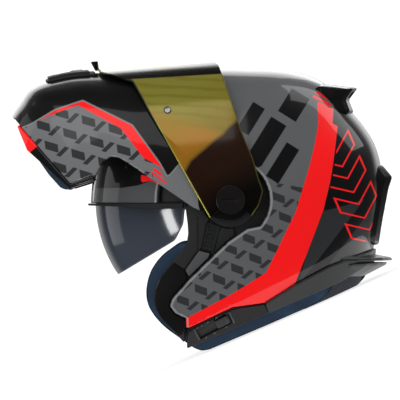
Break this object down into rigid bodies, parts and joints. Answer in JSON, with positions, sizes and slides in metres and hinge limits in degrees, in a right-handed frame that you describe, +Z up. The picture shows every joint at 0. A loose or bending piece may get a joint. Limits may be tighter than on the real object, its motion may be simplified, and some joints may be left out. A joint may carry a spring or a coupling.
{
  "type": "flip-front motorcycle helmet",
  "caption": "Flip-front road helmet standing on its rim, chin bar and mirrored visor swung up over the brow, inner sun visor down, padded lining and ratchet chin strap.",
  "frame": {"origin": "centre of the helmet's footprint box, on the surface that it stands on", "axes": "+X to the back of the head, +Y to the wearer's right, +Z up with the helmet standing on its cheek pads and neck roll"},
  "size_m": [0.3174, 0.2548, 0.3027],
  "materials": {
    "painted_shell": "high gloss paint",
    "gloss_trim": "gloss",
    "matte_trim": "satin",
    "impact_foam": "moulded foam",
    "gasket_rubber": "matte",
    "lining_cloth": "brushed knit",
    "webbing": "woven",
    "red_plastic": "gloss",
    "smoke_lens": "smoked clear",
    "gold_lens": "mirrored",
    "pin_metal": "brushed",
    "curtain_cloth": "knit"
  },
  "bodies": {
    "shell": {"outer_shell": "painted_shell", "eps_liner": "impact_foam", "lower_side_trim_left": "gloss_trim", "lower_side_trim_right": "gloss_trim", "rear_skirt": "gloss_trim", "side_frame_left": "matte_trim", "side_frame_right": "matte_trim", "lower_front_cover_left": "gloss_trim", "lower_front_cover_right": "gloss_trim", "frame_corner_plate_left": "painted_shell", "frame_corner_plate_right": "painted_shell", "side_catch_left": "gloss_trim", "side_catch_right": "gloss_trim", "brow_gasket": "gasket_rubber", "pivot_plate_left": "matte_trim", "pivot_plate_right": "matte_trim", "pivot_cap_left": "gloss_trim", "pivot_cap_right": "gloss_trim", "rear_spoiler": "gloss_trim", "rear_vent": "gloss_trim", "crown_pad": "lining_cloth", "cheek_pad_left": "lining_cloth", "cheek_pad_right": "lining_cloth", "neck_roll": "lining_cloth", "chin_strap_left": "webbing", "chin_strap_right": "webbing", "ratchet_tongue": "gloss_trim", "buckle_body": "gloss_trim"},
    "buckle_lever": {"buckle_lever": "red_plastic"},
    "sun_visor_lever": {"sun_visor_lever": "matte_trim"},
    "sun_visor": {"sun_visor": "smoke_lens"},
    "visor": {"visor": "gold_lens", "fog_pin_left": "pin_metal", "fog_pin_right": "pin_metal"},
    "chin_bar": {"chin_bar_shell": "painted_shell", "chin_bar_lip": "red_plastic", "chin_bar_liner": "impact_foam", "chin_vent_body": "gloss_trim", "chin_curtain": "curtain_cloth"},
    "chin_vent_slider": {"chin_vent_slider": "matte_trim"},
    "release_button": {"release_button": "matte_trim"},
    "latch_hook_left": {"latch_hook_left": "pin_metal"},
    "latch_hook_right": {"latch_hook_right": "pin_metal"}
  },
  "joints": [
    {"name": "visor_swing", "type": "hinge", "parent": "shell", "child": "visor", "pos_m": [0.00521, 0, 0.124], "axis": [0, 1, 0], "range_deg": [-76, 0]},
    {"name": "chin_bar_swing", "type": "hinge", "parent": "visor", "child": "chin_bar", "pos_m": [0.00521, 0, 0.124], "axis": [0, -1, 0], "range_deg": [0, 76]},
    {"name": "chin_vent_slide", "type": "slide", "parent": "chin_bar", "child": "chin_vent_slider", "axis": [-0.9726, 0, 0.2325], "range_m": [0, 0.005]},
    {"name": "release_press", "type": "slide", "parent": "chin_bar", "child": "release_button", "axis": [0.9489, 0, 0.3156], "range_m": [0, 0.003], "stiffness_N_per_m": 900, "springref_m": -0.001},
    {"name": "latch_hook_left_turn", "type": "hinge", "parent": "chin_bar", "child": "latch_hook_left", "pos_m": [-0.11568, -0.0825, 0.22506], "axis": [0, 1, 0], "range_deg": [-1, 14]},
    {"name": "latch_hook_right_turn", "type": "hinge", "parent": "chin_bar", "child": "latch_hook_right", "pos_m": [-0.11568, 0.0825, 0.22506], "axis": [0, 1, 0], "range_deg": [-1, 14]},
    {"name": "sun_visor_swing", "type": "hinge", "parent": "shell", "child": "sun_visor", "pos_m": [0.00521, 0, 0.124], "axis": [0, 1, 0], "range_deg": [0, 34]},
    {"name": "sun_lever_slide", "type": "slide", "parent": "shell", "child": "sun_visor_lever", "axis": [-0.9973, 0, -0.0732], "range_m": [0, 0.018]},
    {"name": "buckle_lever_turn", "type": "hinge", "parent": "shell", "child": "buckle_lever", "pos_m": [-0.00279, 0.028, 0.0245], "axis": [1, 0, 0], "range_deg": [0, 60]}
  ],
  "couplings": [
    {"joint": "sun_lever_slide", "follows": "sun_visor_swing", "m_per_rad": 0.030165},
    {"joint": "latch_hook_left_turn", "follows": "release_press", "rad_per_m": 69.813},
    {"joint": "latch_hook_right_turn", "follows": "release_press", "rad_per_m": 69.813}
  ]
}
